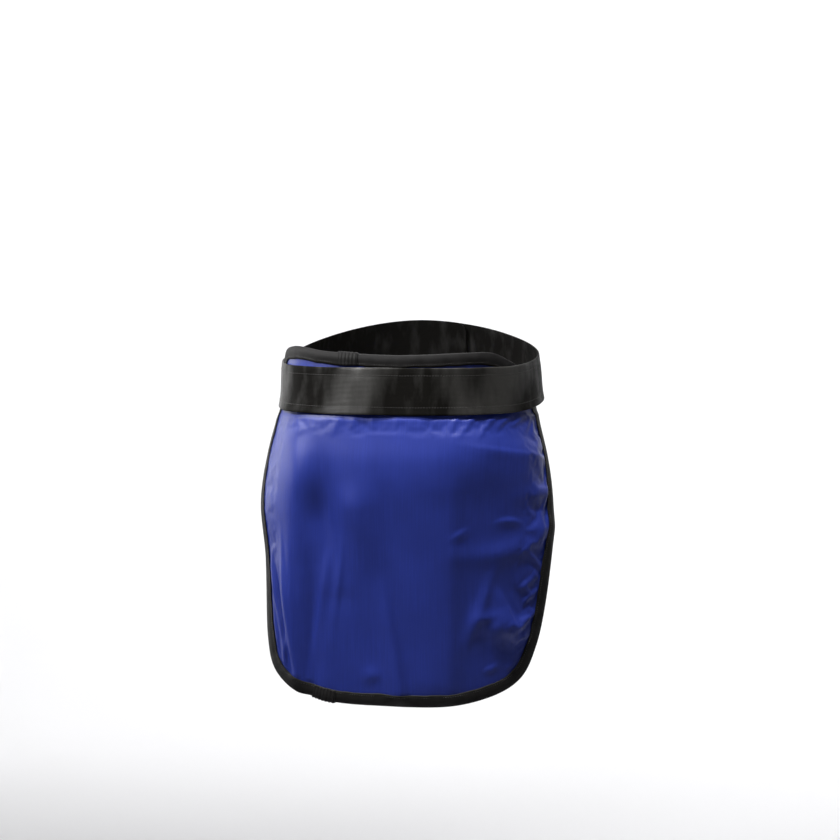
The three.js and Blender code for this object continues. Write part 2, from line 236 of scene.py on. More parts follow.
# Bends of the whole panel: arc and height at the start and end of the run, how far its middle bows
# to the left of the run, the widths to the left and right of it, and how far it stands out at its
# start, its middle and its end
PANEL_FOLDS = (
    # roll of cloth below the belt, and the swells in the middle and on the right
    (-188, -39, 226, -37, 0, 5, 24, 1.2, 1.0, 1.8),
    (-95, -100, 85, -96, 0, 42, 60, 3.0, 5.0, 4.0),
    (85, -71, 195, -90, 0, 24, 50, 4.0, 7.0, 9.0),
    # crest and furrow down the left
    (-139, -68, -124, -411, 0, 14, 24, 2.0, 5.5, 4.0),
    (-108, -195, -110, -423, 0, 12, 10, 0.0, -5.0, -4.0),
    # bulge at the upper left, the hollow below it, and the swell that stands out beside it
    (-131, -54, -106, -179, 0, 18, 18, 0.0, 6.0, 0.0),
    (-116, -53, -72, -274, 0, 30, 22, 0.0, -12.0, -2.5),
    (-97, -167, 0, -149, 0, 32, 90, 0.0, 7.0, 0.0),
    # wedge down the middle, and the dome at the bottom edge
    (-15, -236, 14, -406, 0, 9, 17, 0.0, 4.4, 6.5),
    (-45, -392, -6, -378, 0, 11, 8, 0.0, 1.8, 0.0),
    # edge where the flat front turns to the right side
    (79, -136, 77, -389, 0, 18, 60, 2.5, 4.5, 5.0),
    # sling of cloth on the right, and the fold along the right tape
    (89, -219, 231, -187, -13, 15, 16, 1.0, 3.6, 4.5),
    (229, -138, 210, -220, 0, 5, 9, 0.0, 2.4, 0.0),
    # tent at the lower right: long ridge, foot and crest, and the cloth that gathers beside it
    (142, -240, 95, -364, 0, 7, 10, 1.0, 2.6, 0.0),
    (132, -314, 166, -321, 0, 24, 17, 3.5, 6.5, 5.5),
    (140, -256, 166, -312, 0, 5, 14, 0.0, 2.5, 4.0),
    (165, -326, 196, -303, 0, 9, 6, 2.0, 4.0, 2.5),
    (169, -343, 192, -323, 0, 6, 5, 0.5, 2.2, 1.0),
    (114, -308, 139, -302, 0, 9, 6, 0.5, 2.2, 1.0),
    # folds that hang along the left edge
    (-148, -177, -127, -411, 0, 8, 28, 0.0, 8.0, 4.0),
    (-163, -170, -129, -386, 0, 4, 8, 0.0, 4.6, 2.4),
    (-177, -215, -138, -384, 0, 5, 6, 0.0, -4.2, -2.4),
    (-190, -203, -154, -345, 0, 5, 6, 0.0, 4.0, 0.0),
)

# Creases of the outer cover alone, in the same columns
COVER_CREASES = (
    # fan of lines below the left hollow
    (-60, -161, -81, -345, 0, 5, 6, 0.0, 2.0, 0.4),
    (-80, -175, -113, -396, 0, 7, 5, 0.0, 2.0, 1.0),
    # thin crease along the right swell
    (76, -68, 237, -96, 0, 3, 10, 0.0, 1.2, 1.4),
    # upper sling on the right in two pieces, and the wedge beside it
    (134, -178, 196, -185, 8, 3, 9, 0.0, 1.9, 0.0),
    (76, -199, 111, -180, 0, 4, 9, 0.0, 1.2, 0.0),
    (181, -143, 248, -142, 0, 12, 12, 1.0, 4.0, 5.5),
    # crumples at the right tape
    (191, -216, 214, -240, 0, 4, 4, 0.0, 1.7, 0.5),
    (173, -273, 203, -252, 0, 5, 6, 0.0, 2.0, 1.0),
    (177, -288, 203, -274, 0, 4, 5, 0.0, 1.6, 0.5),
    (185, -260, 199, -286, 0, 3, 4, 0.0, 1.6, 0.0),
    (177, -326, 192, -341, 0, 4, 4, 0.0, 1.5, 0.0),
    (122, -381, 153, -369, 0, 5, 5, 0.0, 1.4, 0.0),
    (155, -378, 174, -366, 0, 4, 4, 0.0, 1.4, 0.0),
    # short streaks of the left edge
    (-164, -276, -145, -385, 0, 3, 5, 0.0, 3.0, 1.4),
    (-178, -271, -157, -378, 0, 3, 5, 0.0, 3.0, 1.4),
    (-144, -316, -150, -386, 0, 3, 4, 0.0, 2.6, 1.4),
    # puckers under the belt
    (-138, -46, -128, -64, 0, 9, 8, 0.6, 1.0, 0.0),
    (-73, -34, -85, -65, 0, 4, 7, 1.2, 0.8, 0.0),
    (-53, -34, -58, -59, 0, 5, 5, 0.9, 0.6, 0.0),
    (-27, -33, -31, -51, 0, 6, 5, 0.6, 0.4, 0.0),
    (6, -33, 3, -46, 0, 6, 5, 0.5, 0.3, 0.0),
    (60, -31, 52, -51, 0, 5, 5, 0.7, 0.5, 0.0),
    (88, -30, 71, -63, 0, 4, 6, 1.0, 0.7, 0.0),
    (112, -28, 85, -66, 0, 4, 6, 1.4, 1.0, 0.0),
    (143, -28, 109, -69, 0, 4, 6, 1.7, 1.2, 0.0),
    (175, -25, 132, -59, 0, 4, 6, 1.8, 1.3, 0.0),
    (213, -23, 157, -55, 0, 4, 6, 1.7, 1.2, 0.0),
    # scallops of the cover along the left tape
    (-213, -60, -198, -64, 0, 7, 7, 1.6, 2.2, 0.0),
    (-216, -98, -198, -104, 0, 9, 8, 1.8, 2.6, 0.0),
    (-218, -136, -198, -133, 0, 8, 8, 2.0, 2.8, 0.0),
    (-215, -172, -196, -168, 0, 7, 8, 1.8, 2.6, 0.0),
    (-210, -204, -192, -208, 0, 8, 6, 1.6, 2.4, 0.0),
    (-204, -240, -186, -236, 0, 6, 7, 1.4, 2.0, 0.0),
)

# Depths where the folds begin below the belt and are full, and ways in from the edge where the
# creases begin beside the tape and are full
FOLDS_START = BELT_WIDTH / 2 + 0.5
FOLDS_FULL = BELT_WIDTH / 2 + 7
CREASES_START = TAPE_WIDTH - 1
CREASES_FULL = TAPE_WIDTH + 5

# Loose cut of the outer cover: extra size where it is loosest, (start, end) of the way in from the
# tape, down from the belt, down along the sides and to the right over which it changes, its share
# on the left and below the belt, and the share below which the cover is held on the shielding
COVER_EXTRA = 0.02
LOOSE_BY_TAPE = (TAPE_WIDTH + 4, TAPE_WIDTH + 48)
LOOSE_UNDER_BELT = (FOLDS_START + 4, FOLDS_START + 36)
TAUT_AT_BOTTOM = (310, 370)
LOOSE_TO_RIGHT = (0, 120)
LOOSE_LEAST = 0.07
HELD_BELOW = 0.02
TAUT_LEVELS = 12
# Frames in which it settles, share of gravity, and the most that it may sink or rise
SETTLE_FRAMES = 24
COVER_GRAVITY = 0.06
COVER_SINK = 1.2
COVER_RISE = 3.0

NYLON_DEEP = (0.0085, 0.0195, 0.168)
NYLON_BRIGHT = (0.0118, 0.0256, 0.211)


def smooth(value, low, high):
    """Goes from 0 at low to 1 at high, level at both ends: 3t^2 - 2t^3."""
    t = np.clip((value - low) / (high - low), 0, 1)
    return t * t * (3 - 2 * t)


def row_curve(column, z):
    """Smooth curve through a column of the section rows: between two rows, a cubic that leaves and
    arrives with the slope between the rows on either side."""
    gaps = np.diff(SECTION_Z)
    slope = np.concatenate((
        [(column[1] - column[0]) / gaps[0]],
        (column[2:] - column[:-2]) / (SECTION_Z[2:] - SECTION_Z[:-2]),
        [(column[-1] - column[-2]) / gaps[-1]],
    ))
    low = np.clip(np.searchsorted(SECTION_Z, z, side="right") - 1, 0, len(gaps) - 1)
    t = (z - SECTION_Z[low]) / gaps[low]
    rise = column[low] + (column[low + 1] - column[low]) * t * t * (3 - 2 * t)
    leave = t * (1 - t) ** 2 * gaps[low] * slope[low]
    arrive = t * t * (t - 1) * gaps[low] * slope[low + 1]
    return rise + leave + arrive


def quarter_section(arc, length, flatness):
    """Way across and in depth after an arc, on a section that turns from straight across to
    straight back: its heading is a quarter turn times (arc / length) to the power of flatness."""
    middles = (np.arange(ARC_STEPS) + 0.5) / ARC_STEPS
    heading = QUARTER_TURN * (middles * (arc / length)[..., None]) ** flatness[..., None]
    return arc * np.cos(heading).mean(-1), arc * np.sin(heading).mean(-1)


FRONT_ACROSS, FRONT_DEPTH = quarter_section(np.ones(2), np.ones(2), FRONT_FLATNESS)
BACK_ACROSS, BACK_DEPTH = quarter_section(np.ones(2), np.ones(2), BACK_FLATNESS)


def side_section(z, side):
    """Section on a side, 0 for left and 1 for right: lengths of its front and back quarters, y of
    the back line, and how much deeper than its own curve the back quarter is. Both sides meet at
    the back line, where the right side's back quarter is as wide as its front one."""
    front = row_curve(FRONT, z)
    right = row_curve(RIGHT, z)
    length = np.where(side == 1, right, row_curve(LEFT, z))
    back_length = length * FRONT_ACROSS[side] / BACK_ACROSS[side]
    back = front + right * (FRONT_DEPTH[1] + FRONT_ACROSS[1] * BACK_DEPTH[1] / BACK_ACROSS[1])
    deepen = (back - front - length * FRONT_DEPTH[side]) / (back_length * BACK_DEPTH[side])
    return length, back_length, back, deepen


def half_girth(z, side):
    """Arc from the front line round a side to the back line."""
    length, back_length, _, _ = side_section(z, side)
    return length + back_length


def wrap(arc, z):
    """Point of the wrapped surface, an arc round from the front line at a height."""
    side = np.where(arc < 0, 0, 1)
    run = np.abs(arc)
    length, back_length, back, deepen = side_section(z, side)
    across, depth = quarter_section(np.minimum(run, length), length, FRONT_FLATNESS[side])
    to_back = length + back_length - run
    short = np.minimum(np.abs(to_back), back_length)
    back_across, back_depth = quarter_section(short, back_length, BACK_FLATNESS[side])
    before = run <= length
    across = np.where(before, across, np.sign(to_back) * back_across)
    x = row_curve(SHIFT, z) + np.where(side == 1, across, -across)
    y = np.where(before, row_curve(FRONT, z) + depth, back - deepen * back_depth)
    return np.stack((x, y, z), axis=-1)


def unit(vectors):
    """Vectors of the same heading, each divided by its length."""
    return vectors / np.linalg.norm(vectors, axis=-1, keepdims=True)


def outward(arc, z):
    """Unit normal of the wrapped surface: the way round crossed with the way up."""
    around = wrap(arc + PROBE, z) - wrap(arc - PROBE, z)
    up = wrap(arc, z + PROBE) - wrap(arc, z - PROBE)
    return unit(np.cross(around, up))


def fold_height(table, arc, z):
    """Sum of the table's folds. Each is a ridge along a run that bows as a parabola: its height, eased
    from start to middle to end, times exp(-(off / width)^2), with a width for each side. It is
    rounded off past its ends."""
    total = np.zeros_like(arc)
    for arc0, z0, arc1, z1, bow, left, right, start, middle, end in table:
        length = math.hypot(arc1 - arc0, z1 - z0)
        run_arc = (arc1 - arc0) / length
        run_z = (z1 - z0) / length
        along = ((arc - arc0) * run_arc + (z - z0) * run_z) / length
        t = np.clip(along, 0, 1)
        off = (z - z0) * run_arc - (arc - arc0) * run_z - 4 * bow * t * (1 - t)
        off = off / np.where(off > 0, left, right)
        past = 2 * (along - t) * length / (left + right)
        height = start + (middle - start) * smooth(t, 0, 0.5) + (end - middle) * smooth(t, 0.5, 1)
        total += height * np.exp(-off ** 2 - past ** 2)
    return total


def panel_point(arc, z, offset):
    """Point of the panel: the wrapped surface moved out by its folds and an offset."""
    folds = fold_height(PANEL_FOLDS, arc, z) * smooth(-z, FOLDS_START, FOLDS_FULL)
    return wrap(arc, z) + outward(arc, z) * (folds + offset)[..., None]


def outline_point(row):
    """Place on the cut shape's edge, row counted along the outline: a centripetal Catmull-Rom
    curve, a cubic between neighbours whose knots are the square roots of their distances."""
    count = len(OUTLINE)
    index = np.floor(row).astype(int)
    t = (row - index)[..., None]
    before, here, ahead, beyond = (OUTLINE[(index + k) % count] for k in (-1, 0, 1, 2))
    gap0, gap1, gap2 = (
        np.sqrt(np.linalg.norm(b - a, axis=-1, keepdims=True))
        for a, b in ((before, here), (here, ahead), (ahead, beyond))
    )
    leave = gap1 * ((here - before) / gap0 - (ahead - before) / (gap0 + gap1) + (ahead - here) / gap1)
    arrive = gap1 * ((ahead - here) / gap1 - (beyond - here) / (gap1 + gap2) + (beyond - ahead) / gap2)
    return (
        here + leave * t
        + (3 * (ahead - here) - 2 * leave - arrive) * t ** 2
        + (2 * (here - ahead) + leave + arrive) * t ** 3
    )


def edge_places(first, last, cells):
    """Evenly spaced places along the outline from one row to another, both ends among them."""
    fine = outline_point(np.linspace(first, last, EDGE_STEPS))
    reach = np.concatenate(([0], np.cumsum(np.linalg.norm(np.diff(fine, axis=0), axis=1))))
    goal = np.linspace(0, reach[-1], cells + 1)
    return np.stack([np.interp(goal, reach, fine[:, k]) for k in (0, 1)], axis=-1)


def cut_grid():
    """Grid of places inside the outline: the mean pull of bottom and top, plus that of left and
    right, less that of the four corners (a Coons patch). First axis up, second to the right."""
    bottom, right, top, left = (
        edge_places(CORNER_ROWS[k], CORNER_ROWS[k + 1], PANEL_CELLS_DOWN if k % 2 else PANEL_CELLS_ACROSS)
        for k in range(4)
    )
    top = top[::-1]
    left = left[::-1]
    u = np.linspace(0, 1, PANEL_CELLS_ACROSS + 1)[None, :, None]
    v = np.linspace(0, 1, PANEL_CELLS_DOWN + 1)[:, None, None]
    upright = bottom[None] * (1 - v) + top[None] * v
    level = left[:, None] * (1 - u) + right[:, None] * u
    low = bottom[0] * (1 - u) + bottom[-1] * u
    high = top[0] * (1 - u) + top[-1] * u
    return upright + level - (low * (1 - v) + high * v)


def in_from_edge(places):
    """Distance of each place from the outline: the least of those to a fine row of edge places."""
    edge = edge_places(0, len(OUTLINE), EDGE_PROBES)
    flat = places.reshape(-1, 2)
    squares = (flat ** 2).sum(1)[:, None] + (edge ** 2).sum(1)[None, :] - 2 * flat @ edge.T
    return np.sqrt(np.maximum(squares.min(1), 0)).reshape(places.shape[:-1])


def settle_cover(points, held, loose):
    """Cloth simulation of a grid of the outer cover, in metres: held points stay, and the cloth is
    cut larger by COVER_EXTRA where loose is 1, and by less in steps down to none where it is 0.
    The settled points are read back, and the helper is removed."""
    cover = add_piece("settling_cover", points, grid_quads(*points.shape[:2]))
    pins = cover.vertex_groups.new(name="held")
    pins.add(np.flatnonzero(held).tolist(), 1.0, "REPLACE")
    taut = cover.vertex_groups.new(name="taut")
    level = np.rint((1 - loose.ravel()) * TAUT_LEVELS).astype(int)
    for step in range(1, TAUT_LEVELS + 1):
        taut.add(np.flatnonzero(level == step).tolist(), step / TAUT_LEVELS, "REPLACE")
    cloth = cover.modifiers.new("settle", "CLOTH")
    cloth.settings.quality = 6
    cloth.settings.mass = 0.15
    cloth.settings.air_damping = 4
    cloth.settings.tension_stiffness = 30
    cloth.settings.compression_stiffness = 30
    cloth.settings.shear_stiffness = 12
    cloth.settings.bending_stiffness = 0.15
    cloth.settings.vertex_group_mass = "held"
    cloth.settings.vertex_group_shrink = "taut"
    cloth.settings.shrink_min = -COVER_EXTRA
    cloth.settings.shrink_max = 0.0
    cloth.settings.effector_weights.gravity = COVER_GRAVITY
    cloth.collision_settings.use_collision = False
    cloth.point_cache.frame_start = 1
    cloth.point_cache.frame_end = SETTLE_FRAMES
    for step in range(1, SETTLE_FRAMES + 1):
        scene.frame_set(step)
    settled = cover.evaluated_get(bpy.context.evaluated_depsgraph_get())
    found = np.empty(points.size)
    settled.data.vertices.foreach_get("co", found)
    scene.frame_set(1)
    helper = cover.data
    bpy.data.objects.remove(cover)
    bpy.data.meshes.remove(helper)
    return found.reshape(points.shape)


def twice_as_fine(values):
    """Values of a grid with every second row and column filled in: half way between two neighbours,
    (9 (b + c) - (a + d)) / 16 of the nearest four, with the first and last repeated."""
    for axis in (0, 1):
        known = np.moveaxis(values, axis, 0)
        far = np.concatenate((known[:1], known, known[-1:]))
        fine = np.empty((2 * len(known) - 1, *known.shape[1:]))
        fine[::2] = known
        fine[1::2] = (9 * (known[:-1] + known[1:]) - far[:-3] - far[3:]) / 16
        values = np.moveaxis(fine, 0, axis)
    return values


def set_flat_map(piece, flat):
    """UV map of places on the cut cloth, in metres, one for each corner of each face."""
    layer = piece.data.uv_layers.new(name="flat")
    layer.data.foreach_set("uv", np.ascontiguousarray(flat, np.float32).ravel())


def settled_face(outer, normal, inside, arc, z):
    """Outer face after its loose cloth has settled. It is loose beside the tape, most on the right,
    and below the belt. Every second row and column is simulated, the move is filled in between, and
    its part along the normal is limited: limit times tanh(move / limit)."""
    by_tape = 1 - smooth(inside, *LOOSE_BY_TAPE)
    by_tape = by_tape * (1 - smooth(-z, *TAUT_AT_BOTTOM))
    by_tape = by_tape * (LOOSE_LEAST + (1 - LOOSE_LEAST) * smooth(arc, *LOOSE_TO_RIGHT))
    under_belt = LOOSE_LEAST * (1 - smooth(-z, *LOOSE_UNDER_BELT))
    loose = np.maximum(by_tape, under_belt)
    held = (inside < TAPE_WIDTH) | (z > -FOLDS_START) | (loose < HELD_BELOW)
    coarse = outer[::2, ::2]
    settled = settle_cover(coarse * MM, held[::2, ::2], loose[::2, ::2]) / MM
    moved = twice_as_fine(settled - coarse)
    out = (moved * normal).sum(-1)
    side = moved - normal * out[..., None]
    limit = np.where(out > 0, COVER_RISE, COVER_SINK)
    return outer + side + normal * (limit * np.tanh(out / limit))[..., None]


def panel_surfaces():
    """Outer face, inner face and flat places of the panel: its folds at half a thickness out and in.
    The outer face also has the cover's creases, which fade out towards the tape and the belt."""
    places = cut_grid()
    arc = places[..., 0]
    z = places[..., 1]
    half = PANEL_THICKNESS / 2
    inside = in_from_edge(places)
    creases = fold_height(COVER_CREASES, arc, z) * smooth(-z, FOLDS_START, FOLDS_FULL)
    creases = creases * smooth(inside, CREASES_START, CREASES_FULL)
    normal = outward(arc, z)
    outer = panel_point(arc, z, half) + normal * creases[..., None]
    inner = panel_point(arc, z, np.full_like(arc, -half))
    outer = settled_face(outer, normal, inside, arc, z)
    return outer, inner, places


def closed_sheet(outer, inner, places):
    """One closed mesh from two faces on the same grid, joined by a rim: points, quads, flat map."""
    rows, columns = outer.shape[:2]
    face = grid_quads(rows, columns)
    number = np.arange(rows * columns).reshape(rows, columns)
    border = np.concatenate((number[0, :-1], number[:-1, -1], number[-1, :0:-1], number[:0:-1, 0]))
    ahead = np.roll(border, -1)
    count = rows * columns
    rim = np.stack((border, border + count, ahead + count, ahead), axis=-1)
    quads = np.concatenate((face, face[:, ::-1] + count, rim))
    points = np.concatenate((outer.reshape(-1, 3), inner.reshape(-1, 3)))
    flat = np.concatenate((places.reshape(-1, 2), places.reshape(-1, 2)))
    return points, quads, flat[quads]


points, quads, flat = closed_sheet(*panel_surfaces())
panel = add_piece("panel_cover", points * MM, quads)
set_flat_map(panel, flat * MM)

nylon, tree, shader = shader_of(
    "coated_nylon", Specular_IOR_Level=0.32, Sheen_Weight=0.02, Sheen_Roughness=0.4
)
cut = add_node(tree, "ShaderNodeUVMap", uv_map="flat").outputs["UV"]
upright = add_node(tree, "ShaderNodeMapping", {"Vector": cut, "Scale": (620, 16, 1)})
yarn = add_node(
    tree, "ShaderNodeTexNoise", {"Vector": upright.outputs["Vector"], "Scale": 1.0, "Detail": 2.0}
)
cloud = add_node(tree, "ShaderNodeTexNoise", {"Vector": cut, "Scale": 16.0, "Detail": 3.0})
warp = add_node(tree, "ShaderNodeTexWave", {"Vector": cut, "Scale": 330.0}, bands_direction="X")
weft = add_node(tree, "ShaderNodeTexWave", {"Vector": cut, "Scale": 330.0}, bands_direction="Y")
weave = add_node(
    tree, "ShaderNodeMath", {0: warp.outputs["Fac"], 1: weft.outputs["Fac"]}, operation="MULTIPLY"
)
tone = add_node(
    tree, "ShaderNodeMath", {0: yarn.outputs["Fac"], 1: cloud.outputs["Fac"]}, operation="MULTIPLY"
)
blue = colour_between(tree, tone.outputs[0], NYLON_DEEP, NYLON_BRIGHT, 0.12, 0.42)
relief = add_node(
    tree, "ShaderNodeMath", {0: yarn.outputs["Fac"], 1: weave.outputs[0]}, operation="ADD"
)
bump = add_node(
    tree, "ShaderNodeBump", {"Height": relief.outputs[0], "Strength": 0.35, "Distance": 0.00015}
)
tree.links.new(blue, shader.inputs["Base Color"])
tree.links.new(value_between(tree, yarn.outputs["Fac"], 0.38, 0.50), shader.inputs["Roughness"])
tree.links.new(bump.outputs["Normal"], shader.inputs["Normal"])
panel.data.materials.append(nylon)
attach(panel, "root")
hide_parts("panel")


# Edge tape: black woven tape folded in half over the panel's whole edge, so that it lies on both
# faces. It is sewn through with one row of stitches near its inner edge, and puckers a little.
TAPE_THICKNESS = 1.0
TAPE_GAP = 0.3
TAPE_STATIONS = 720
TAPE_LEG_STEPS = 8
TAPE_TURN_STEPS = 9
TAPE_STITCH_IN = 12.6
TAPE_STITCH_PITCH = 3.3
TAPE_CROWN = 1.0
TAPE_LEG_START = 0.6
TAPE_TURN_DEPTH = 0.8
TAPE_LIP = 0.55
SWELL_START = FOLDS_START + 3
SWELL_FULL = FOLDS_START + 15
# Puckers along the closed edge: whole waves round it, phase, change of width, and lift
TAPE_PUCKERS = (
    (23, 0.3, 0.35, 0.06),
    (41, 1.9, 0.30, 0.10),
    (67, 4.1, 0.15, 0.10),
    (113, 2.7, 0.10, 0.08),
)
TAPE_DARK = (0.0024, 0.0022, 0.0022)
TAPE_LIT = (0.0080, 0.0072, 0.0074)


def tape_places(edge, inward):
    """Places moved in from a closed row of edge places, at right angles to the edge."""
    run = unit(np.roll(edge, -1, axis=0) - np.roll(edge, 1, axis=0))
    left = np.stack((-run[:, 1], run[:, 0]), axis=-1)
    return edge[:, None] + left[:, None] * inward[..., None]


def tape_section():
    """Closed section of the folded tape as (inward, offset): a front leg, a half turn round the
    edge and a back leg, followed on one side and back on the other, each half a thickness off. It
    is thinner at its lips."""
    middle = PANEL_THICKNESS / 2 + TAPE_GAP + TAPE_THICKNESS / 2
    leg = np.linspace(TAPE_WIDTH, TAPE_LEG_START, TAPE_LEG_STEPS)
    level = np.full(TAPE_LEG_STEPS, middle)
    turn = np.linspace(QUARTER_TURN, -QUARTER_TURN, TAPE_TURN_STEPS)
    inward = np.concatenate((leg, -TAPE_TURN_DEPTH * np.cos(turn), leg[::-1]))
    offset = np.concatenate((level, middle * np.sin(turn), -level))
    line = np.stack((inward, offset), axis=-1)
    along = unit(np.gradient(line, axis=0))
    aside = np.stack((along[:, 1], -along[:, 0]), axis=-1) * TAPE_THICKNESS / 2
    aside[[0, -1]] *= TAPE_LIP
    return np.concatenate((line - aside, (line + aside)[::-1]))


def tape_rings(edge, section, lift=0.0):
    """Rings of the tape's section along the edge. Clear of the belt it swells between edge and
    stitches by half a sine wave; puckers change its width and lift it by sums of whole waves. A
    lift moves all of it out."""
    way = np.linspace(0, 1, len(edge), endpoint=False)[:, None]
    inward = np.broadcast_to(section[:, 0], (len(edge), len(section)))
    offset = np.broadcast_to(section[:, 1], (len(edge), len(section)))
    reach = np.clip(inward / TAPE_WIDTH, 0, 1)
    clear = smooth(np.abs(edge[:, 1]), SWELL_START, SWELL_FULL)[:, None]
    swell = TAPE_CROWN * np.sin(math.pi * np.clip(inward / TAPE_STITCH_IN, 0, 1)) * clear
    offset = offset + np.sign(offset) * swell
    for waves, phase, width, rise in TAPE_PUCKERS:
        swing = np.sin(2 * math.pi * waves * way + phase)
        inward = inward + width * swing * reach
        offset = offset + np.sign(offset) * rise * (1 + swing) * reach
    inward = inward - lift * (1 - smooth(inward, -TAPE_LEG_START, TAPE_LEG_START))
    offset = offset + np.clip(offset, -1, 1) * lift
    places = tape_places(edge, inward)
    return panel_point(places[..., 0], places[..., 1], offset)


def ring_map(rows, columns, along, around, round_rows=True):
    """Flat places for the corners of a grid that is round in its columns: along by row, around by
    column, each with one more value than the grid has where it goes round."""
    row, column = np.mgrid[:rows if round_rows else rows - 1, :columns]
    corner_rows = np.stack((row, row, row + 1, row + 1), axis=-1)
    corner_columns = np.stack((column, column + 1, column + 1, column), axis=-1)
    return np.stack((along[corner_rows], around[corner_columns]), axis=-1).reshape(-1, 4, 2)


edge = edge_places(0, len(OUTLINE), TAPE_STATIONS)[:-1]
section = tape_section()
rings = tape_rings(edge, section)
edge_length = np.linalg.norm(np.diff(edge, axis=0, append=edge[:1]), axis=1).sum()
steps = np.linalg.norm(np.diff(section, axis=0, append=section[:1]), axis=1)
around = np.concatenate(([0], np.cumsum(steps)))
quads = grid_quads(TAPE_STATIONS, len(section), round_rows=True, round_columns=True)
tape = add_piece("edge_binding", rings * MM, quads)
along = np.linspace(0, edge_length, TAPE_STATIONS + 1)
set_flat_map(tape, ring_map(TAPE_STATIONS, len(section), along, around) * MM)

tape_black, tree, shader = shader_of(
    "woven_tape", Specular_IOR_Level=0.16, Sheen_Weight=0.01, Sheen_Roughness=0.5
)
cut = add_node(tree, "ShaderNodeUVMap", uv_map="flat").outputs["UV"]
ribs = add_node(
    tree, "ShaderNodeTexWave", {"Vector": cut, "Scale": 240.0, "Distortion": 0.6}, bands_direction="X"
)
wear = add_node(tree, "ShaderNodeTexNoise", {"Vector": cut, "Scale": 60.0, "Detail": 4.0})
black = colour_between(tree, wear.outputs["Fac"], TAPE_DARK, TAPE_LIT, 0.3, 0.75)
bump = add_node(
    tree, "ShaderNodeBump", {"Height": ribs.outputs["Fac"], "Strength": 0.5, "Distance": 0.0002}
)
tree.links.new(black, shader.inputs["Base Color"])
tree.links.new(value_between(tree, wear.outputs["Fac"], 0.42, 0.68), shader.inputs["Roughness"])
tree.links.new(bump.outputs["Normal"], shader.inputs["Normal"])
tape.data.materials.append(tape_black)
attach(tape, "root")
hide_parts("edge_tape")


# Tape stitches: one row of black lockstitch through the tape, seen on both faces.
# Each stitch is a short thread that dips into the tape at both ends.
STITCH_LENGTH = 2.5
STITCH_RADIUS = 0.28
STITCH_RINGS = 6
STITCH_SIDES = 6
STITCH_PROUD = 0.12
STITCH_ENDS = (0.04, 0.96)
STITCH_ARCH = 1.5
STITCH_SINK = 0.7
THREAD_DARK = (0.014, 0.013, 0.012)
THREAD_LIT = (0.0308, 0.0286, 0.0264)


def stitch_row(spots, along, normal):
    """Stitches at spots: each a thin round thread whose radius goes with sqrt(1 - (2t - 1)^4) along
    it and whose height with a half sine wave. Points in millimetres and quads of the whole row."""
    t = np.linspace(*STITCH_ENDS, STITCH_RINGS)
    radius = STITCH_RADIUS * np.sqrt(1 - (2 * t - 1) ** 4)
    rise = STITCH_RADIUS * (STITCH_ARCH * np.sin(math.pi * t) - STITCH_SINK)
    angle = np.arange(STITCH_SIDES) * 2 * math.pi / STITCH_SIDES
    side = np.cross(normal, along)
    forward = ((t - 0.5) * STITCH_LENGTH)[:, None]
    sideways = radius[:, None] * np.cos(angle)
    upward = rise[:, None] + radius[:, None] * np.sin(angle)
    points = (
        spots[:, None, None]
        + along[:, None, None] * (forward + 0 * sideways)[None, ..., None]
        + side[:, None, None] * sideways[None, ..., None]
        + normal[:, None, None] * upward[None, ..., None]
    )
    size = STITCH_RINGS * STITCH_SIDES
    last = size - STITCH_SIDES
    one = np.concatenate((
        grid_quads(STITCH_RINGS, STITCH_SIDES, round_columns=True),
        [(0, 3, 2, 1), (0, 5, 4, 3)],
        np.array([(0, 1, 2, 3), (0, 3, 4, 5)]) + last,
    ))
    quads = one[None] + (np.arange(len(spots)) * size)[:, None, None]
    return points.reshape(-1, 3), quads.reshape(-1, 4)


def join(parts):
    """One list of points and quads from several: quads count on from the points before theirs."""
    starts = np.cumsum([0] + [len(points) for points, _ in parts[:-1]])
    return (
        np.concatenate([points for points, _ in parts]),
        np.concatenate([quads + start for (_, quads), start in zip(parts, starts)]),
    )


def tape_stitches():
    """Stitch rows of both faces: spots on the tape's top, a step in from the edge."""
    count = int(edge_length / TAPE_STITCH_PITCH)
    row = edge_places(0, len(OUTLINE), count)[:-1]
    places = tape_places(row, np.full((count, 1), TAPE_STITCH_IN))[:, 0]
    arc = places[:, 0]
    z = places[:, 1]
    normal = outward(arc, z)
    top = PANEL_THICKNESS / 2 + TAPE_GAP + TAPE_THICKNESS + STITCH_PROUD
    parts = []
    for face in (1, -1):
        spots = panel_point(arc, z, np.full(count, face * top))
        ahead = np.roll(spots, -1, axis=0) - np.roll(spots, 1, axis=0)
        parts.append(stitch_row(spots, unit(ahead), face * normal))
    return join(parts)


points, quads = tape_stitches()
stitches = add_piece("edge_stitches", points * MM, quads)
thread, tree, shader = shader_of("black_thread", Specular_IOR_Level=0.45, Sheen_Weight=0.1)
place = add_node(tree, "ShaderNodeTexCoord").outputs["Object"]
ply = add_node(tree, "ShaderNodeTexNoise", {"Vector": place, "Scale": 900.0, "Detail": 1.0})
spun = colour_between(tree, ply.outputs["Fac"], THREAD_DARK, THREAD_LIT, 0.3, 0.7)
tree.links.new(spun, shader.inputs["Base Color"])
tree.links.new(value_between(tree, ply.outputs["Fac"], 0.4, 0.6), shader.inputs["Roughness"])
stitches.data.materials.append(thread)
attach(stitches, "root")


# Tape laps: the tape goes round in two lengths, whose ends lap at the top and at the bottom edge.
# Each lap is a short second layer of tape, drawn into ribs by close bars of stitches.
LAP_STATIONS = 2880
LAP_RIB_PITCH = 5.0
LAP_RIB_RISE = 0.6
LAP_GAP = 0.1
# Arc of each lap's middle, upper or lower edge, and half its length
LAPS = ((-65, 1, 14), (-93, -1, 17))


